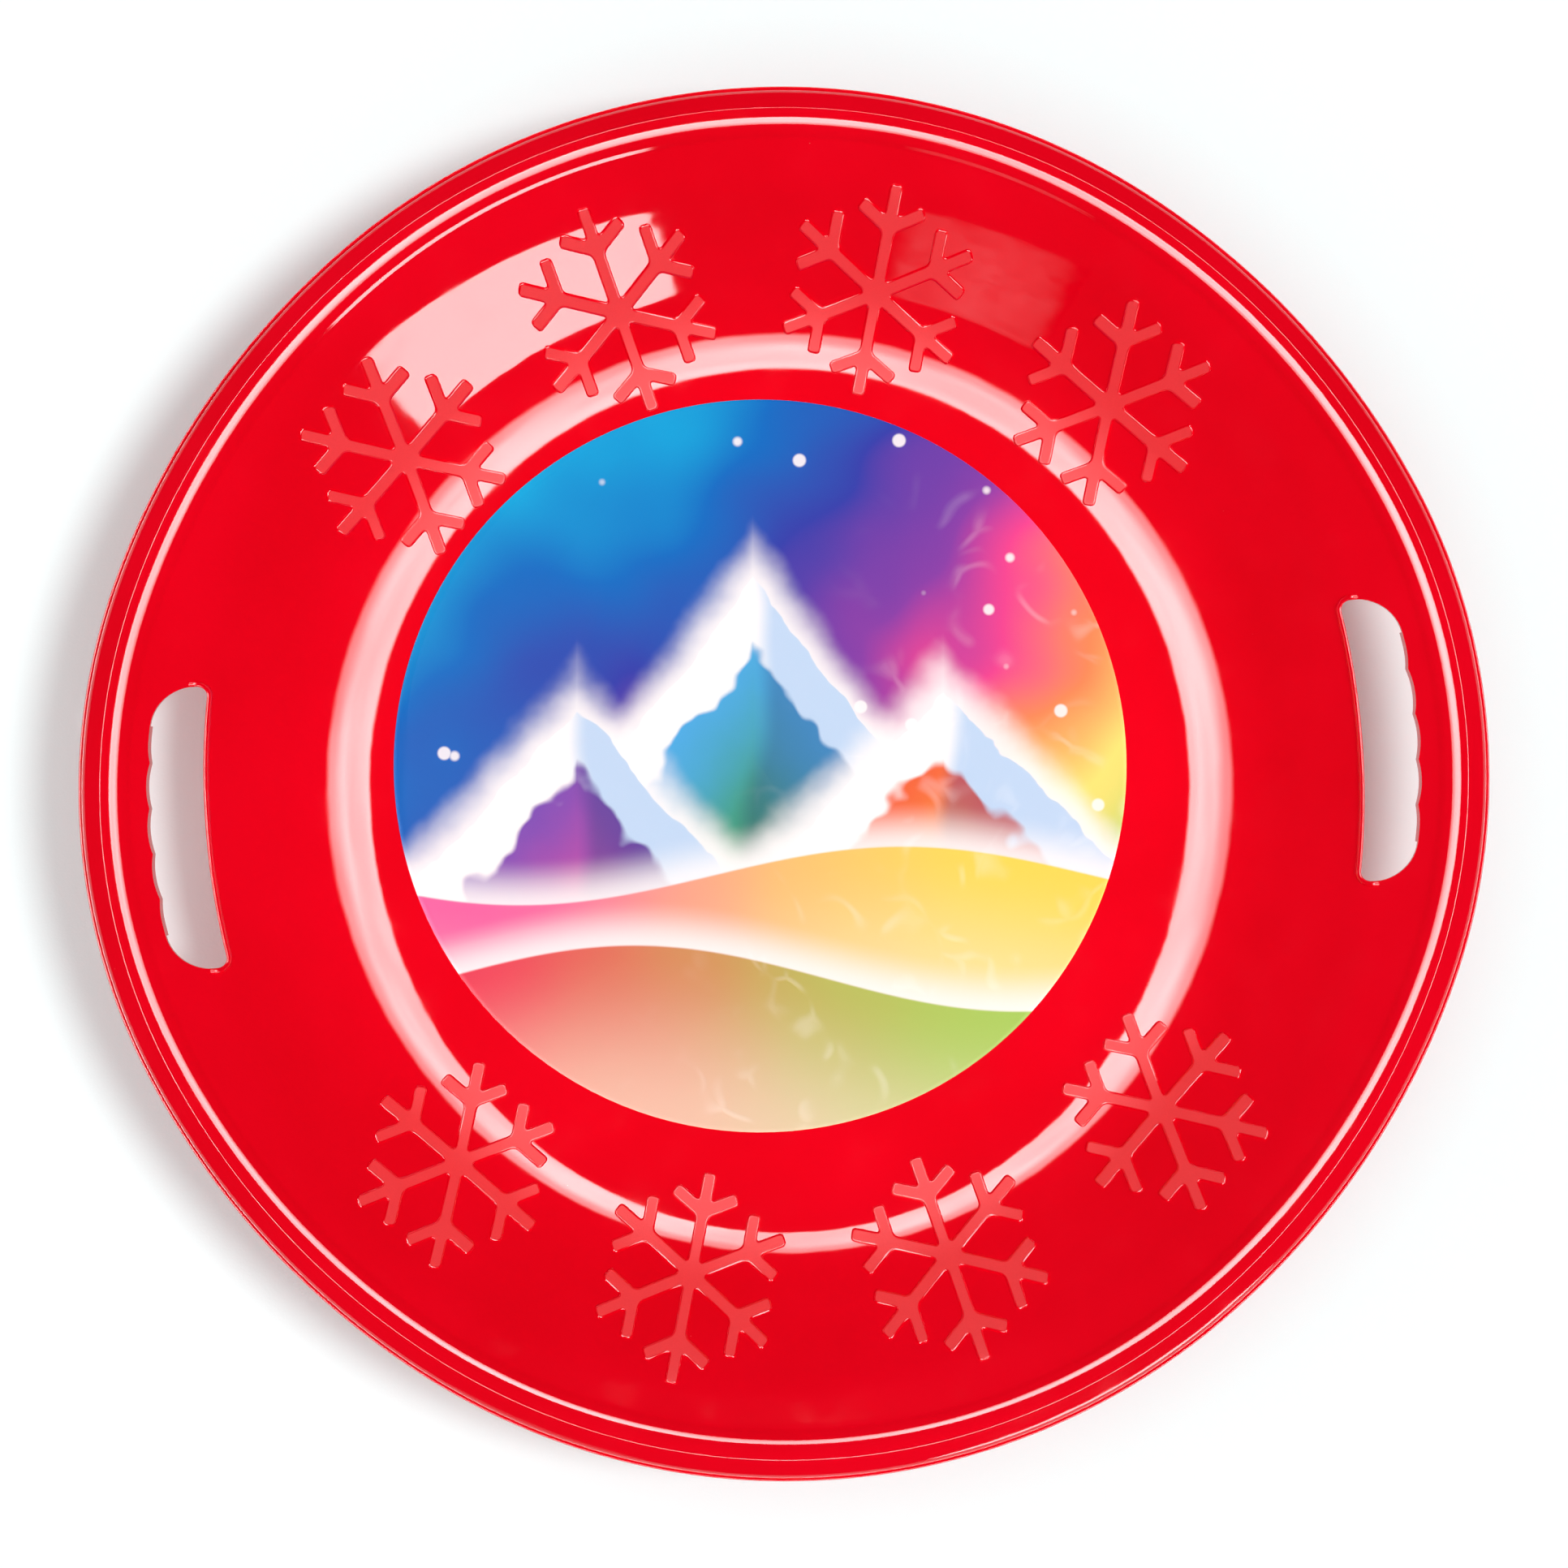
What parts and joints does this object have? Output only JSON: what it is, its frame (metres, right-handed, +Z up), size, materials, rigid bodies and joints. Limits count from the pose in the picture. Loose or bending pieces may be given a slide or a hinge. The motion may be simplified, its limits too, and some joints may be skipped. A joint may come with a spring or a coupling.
{
  "type": "saucer sled",
  "caption": "Round moulded plastic saucer sled: shallow bowl with a rolled rim, hand slots with finger grips, raised snowflakes on the wall and a round printed label on the floor.",
  "frame": {"origin": "on the ground under the middle of the dish", "axes": "+X through the two hand slots, +Y towards the front row of snowflakes, +Z up out of the bowl"},
  "size_m": [0.6005, 0.5934, 0.0785],
  "materials": {
    "dish_plastic": "glossy moulded red",
    "label_adhesive": "clear adhesive layer",
    "label_film": "glossy printed film, many colours"
  },
  "bodies": {
    "root": {"dish": "dish_plastic", "label_adhesive": "label_adhesive", "label_film": "label_film"}
  },
  "joints": []
}
